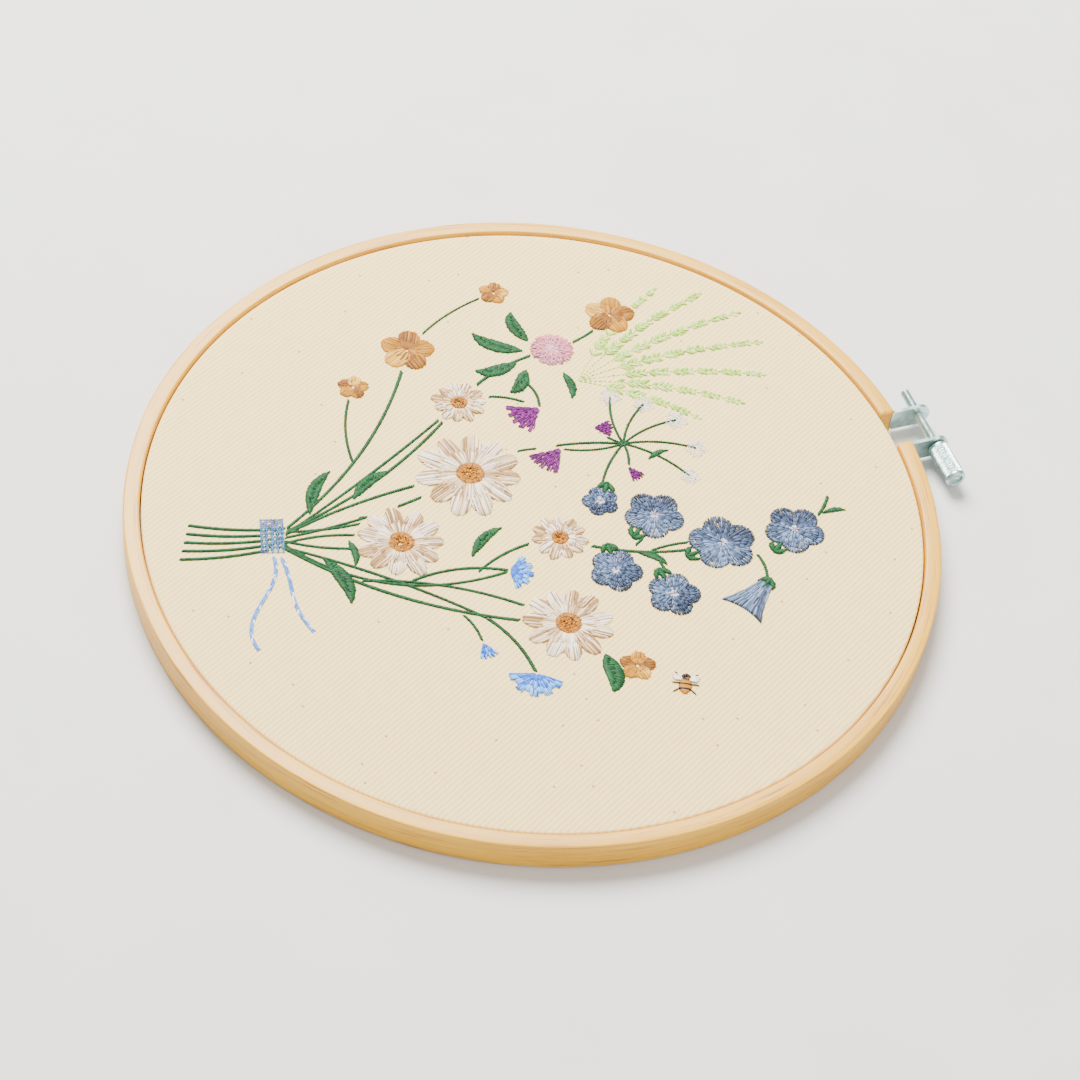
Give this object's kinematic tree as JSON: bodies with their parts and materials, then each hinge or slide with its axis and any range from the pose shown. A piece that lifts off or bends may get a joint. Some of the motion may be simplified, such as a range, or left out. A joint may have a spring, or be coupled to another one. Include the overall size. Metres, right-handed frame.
{
  "type": "embroidery hoop",
  "caption": "Round wooden embroidery hoop with cloth stretched between a closed inner ring and a split outer ring that a knurled screw tightens, with a stitched bunch of wild flowers.",
  "frame": {"origin": "middle of the hoop on its back plane, which is the mouth of the recess behind the cloth", "axes": "+Z out of the stitched front, +X through the tension screw, +Y along the screw towards its free end"},
  "size_m": [0.219, 0.208, 0.0082],
  "materials": {
    "outer_wood": "smooth pale split wood with fine grain along the ring",
    "inner_wood": "smooth pale split wood",
    "cotton_twill": "natural cream cotton twill with diagonal ribs and fine dark flecks",
    "zinc_plate": "bright zinc plating with a faint blue-green tint",
    "green_thread": "glossy machine embroidery thread",
    "lime_thread": "glossy machine embroidery thread",
    "white_thread": "glossy machine embroidery thread",
    "cream_thread": "white and beige machine embroidery thread",
    "orange_thread": "glossy machine embroidery thread",
    "slate_thread": "slate blue machine embroidery thread, darker at the edges",
    "blue_thread": "blue machine embroidery thread",
    "gold_thread": "ochre and gold machine embroidery thread",
    "pink_thread": "dusty pink machine embroidery thread",
    "purple_thread": "magenta purple machine embroidery thread",
    "sky_thread": "light blue machine embroidery thread",
    "amber_thread": "amber, dark brown and white machine embroidery thread"
  },
  "bodies": {
    "hoop": {"inner_ring": "inner_wood", "cloth": "cotton_twill", "cloth_edge": "cotton_twill", "tie_band": "sky_thread", "tie_tails": "sky_thread", "stems": "green_thread", "leaves": "green_thread", "fern_sprays": "lime_thread", "white_sprays": "white_thread", "daisy_petals": "cream_thread", "daisy_centres": "orange_thread", "harebells": "slate_thread", "harebell_caps": "green_thread", "cornflowers": "blue_thread", "buttercups": "gold_thread", "clover_head": "pink_thread", "knapweed": "purple_thread", "bee": "amber_thread"},
    "outer_ring": {"outer_ring_half": "outer_wood", "lower_bracket": "zinc_plate", "lower_rivet": "zinc_plate"},
    "flex_half": {"outer_ring_flex_half": "outer_wood", "upper_bracket": "zinc_plate", "upper_rivet": "zinc_plate"},
    "screw": {"screw_rod": "zinc_plate", "knurled_head": "zinc_plate"}
  },
  "joints": [
    {"name": "outer_lift", "type": "slide", "parent": "hoop", "child": "outer_ring", "axis": [0, 0, 1], "range_m": [0, 0.03]},
    {"name": "ring_flex", "type": "hinge", "parent": "outer_ring", "child": "flex_half", "pos_m": [-0.1016, 0.00782, 0.0042], "axis": [0, 0, 1], "range_deg": [0, 1.08]},
    {"name": "screw_spin", "type": "hinge", "parent": "outer_ring", "child": "screw", "pos_m": [0.1117, 0, 0.0042], "axis": [0, -1, 0], "range_deg": [0, 3240]}
  ],
  "couplings": [
    {"joint": "screw_spin", "follows": "ring_flex", "ratio": 2978.2}
  ]
}
